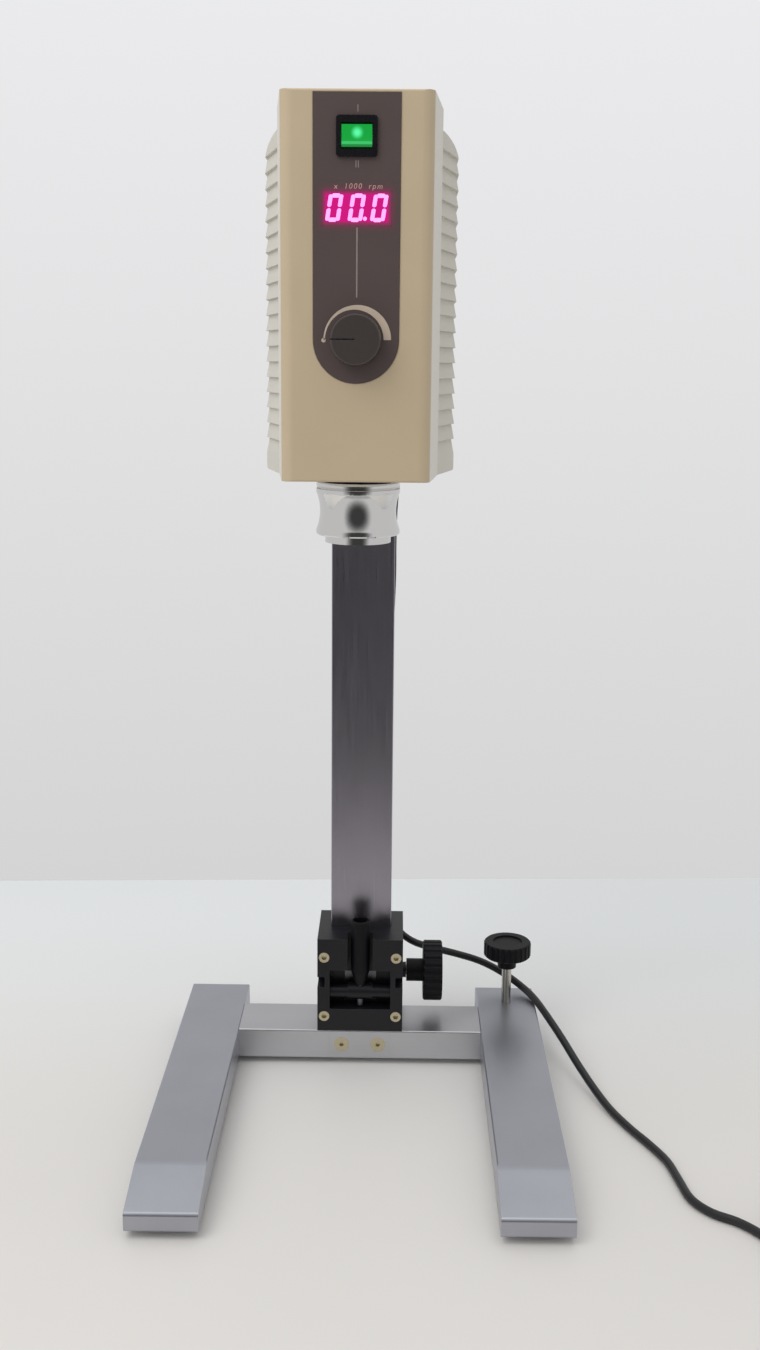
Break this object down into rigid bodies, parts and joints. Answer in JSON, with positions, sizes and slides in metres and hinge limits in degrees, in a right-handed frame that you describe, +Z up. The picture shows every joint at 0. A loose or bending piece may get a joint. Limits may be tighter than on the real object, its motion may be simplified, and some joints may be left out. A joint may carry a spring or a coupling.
{
  "type": "rotor stator homogenizer",
  "caption": "Laboratory rotor stator homogenizer: motor head with display and speed knob on a sliding column, in a low two-legged stand with clamping block.",
  "frame": {"origin": "centre of the outline of the legs, on the bench surface", "axes": "+Z up, +Y to the rear, the control panel faces -Y, +X to the user's right"},
  "size_m": [0.523, 0.3826, 0.7265],
  "materials": {
    "satin_aluminium": "satin",
    "column_metal": "satin",
    "black_anodised": "satin",
    "black_plastic": "fine moulded grain",
    "screw_steel": "light straw tint",
    "dark_steel": "black oxide",
    "bright_steel": "ground",
    "brass": "machined",
    "beige_enamel": "satin enamel",
    "greige_plastic": "fine moulded grain",
    "panel_film": "satin film",
    "dark_plastic": "satin",
    "knob_plastic": "satin",
    "rocker_green": "lit, translucent",
    "display_red": "smoked window",
    "chrome": "polished",
    "laminated_steel": "lacquered laminations",
    "die_cast": "as cast",
    "copper_winding": "enamelled wire",
    "circuit_laminate": "solder mask",
    "rubber": "matt",
    "cord_pvc": "satin pvc"
  },
  "bodies": {
    "root": {"left_leg": "satin_aluminium", "right_leg": "satin_aluminium", "cross_bar": "satin_aluminium", "column_key": "satin_aluminium", "key_screws": "screw_steel", "leg_bolts": "dark_steel", "rubber_feet": "rubber", "levelling_bush": "brass", "guide_block": "black_anodised", "block_bolts": "dark_steel", "front_plate": "black_anodised", "plate_screws": "screw_steel", "mains_cord": "cord_pvc", "cord_coil": "cord_pvc", "plug": "black_plastic"},
    "clamp_lever": {"cam_shaft": "dark_steel", "lever_rod": "dark_steel", "lever_grip": "black_plastic"},
    "clamp_shoe": {"clamp_shoe": "brass"},
    "clamp_pad": {"clamp_pad": "brass"},
    "clamp_screw": {"clamp_stud": "bright_steel", "clamp_knob": "black_plastic"},
    "level_foot": {"levelling_foot": "rubber"},
    "level_screw": {"levelling_rod": "bright_steel", "levelling_knob": "black_plastic"},
    "lift": {"column": "column_metal", "head_bracket": "dark_steel", "bracket_screws": "dark_steel", "front_cover": "beige_enamel", "cover_screws": "dark_steel", "rear_housing": "greige_plastic", "control_panel": "panel_film", "switch_bezel": "dark_plastic", "display_window": "display_red", "display_module": "dark_plastic", "speed_potentiometer": "die_cast", "spindle_seat": "dark_steel", "retaining_ring": "chrome", "motor_frame": "die_cast", "stator": "laminated_steel", "end_shield": "die_cast", "lower_bearing": "bright_steel", "upper_bearing": "bright_steel", "brush_holders": "brass", "circuit_board": "circuit_laminate", "cord_gland": "black_plastic"},
    "power_rocker": {"rocker": "rocker_green"},
    "speed_dial": {"knob_shaft": "bright_steel", "speed_knob": "knob_plastic"},
    "coupling": {"coupling_nut": "chrome"},
    "spindle": {"motor_shaft": "bright_steel", "armature": "copper_winding", "cooling_fan": "dark_plastic", "drive_dog": "bright_steel"}
  },
  "joints": [
    {"name": "column_slide", "type": "slide", "parent": "root", "child": "lift", "axis": [0, 0, 1], "range_m": [0, 0.05]},
    {"name": "lever_swing", "type": "hinge", "parent": "root", "child": "clamp_lever", "pos_m": [0, 0.088, 0.0615], "axis": [1, 0, 0], "range_deg": [0, 90]},
    {"name": "shoe_travel", "type": "slide", "parent": "root", "child": "clamp_shoe", "axis": [0, -1, 0], "range_m": [0, 0.0005005]},
    {"name": "clamp_pad_travel", "type": "slide", "parent": "root", "child": "clamp_pad", "axis": [1, 0, 0], "range_m": [0, 0.00125]},
    {"name": "clamp_turn", "type": "hinge", "parent": "clamp_pad", "child": "clamp_screw", "pos_m": [0.04, 0.12, 0.067], "axis": [1, 0, 0], "range_deg": [0, 360]},
    {"name": "foot_travel", "type": "slide", "parent": "root", "child": "level_foot", "axis": [0, 0, -1], "range_m": [0, 0.005]},
    {"name": "levelling_turn", "type": "hinge", "parent": "level_foot", "child": "level_screw", "pos_m": [0.125, 0.139, 0.06], "axis": [0, 0, -1], "range_deg": [0, 1440]},
    {"name": "power_switch", "type": "hinge", "parent": "lift", "child": "power_rocker", "pos_m": [0, -0.1176, 0.6998], "axis": [1, 0, 0], "range_deg": [-8, 8]},
    {"name": "speed_control", "type": "hinge", "parent": "lift", "child": "speed_dial", "pos_m": [0, -0.123, 0.583], "axis": [0, 1, 0], "range_deg": [0, 180]},
    {"name": "collar_turn", "type": "hinge", "parent": "lift", "child": "coupling", "pos_m": [0, -0.054, 0.473], "axis": [0, 0, 1], "range_deg": [0, 90]},
    {"name": "motor_spin", "type": "hinge", "parent": "lift", "child": "spindle", "pos_m": [0, -0.054, 0.52], "axis": [0, 0, 1], "continuous": true}
  ],
  "couplings": [
    {"joint": "shoe_travel", "follows": "lever_swing", "m_per_rad": 0.00031831},
    {"joint": "clamp_pad_travel", "follows": "clamp_turn", "m_per_rad": 0.00019894},
    {"joint": "foot_travel", "follows": "levelling_turn", "m_per_rad": 0.00019894}
  ]
}
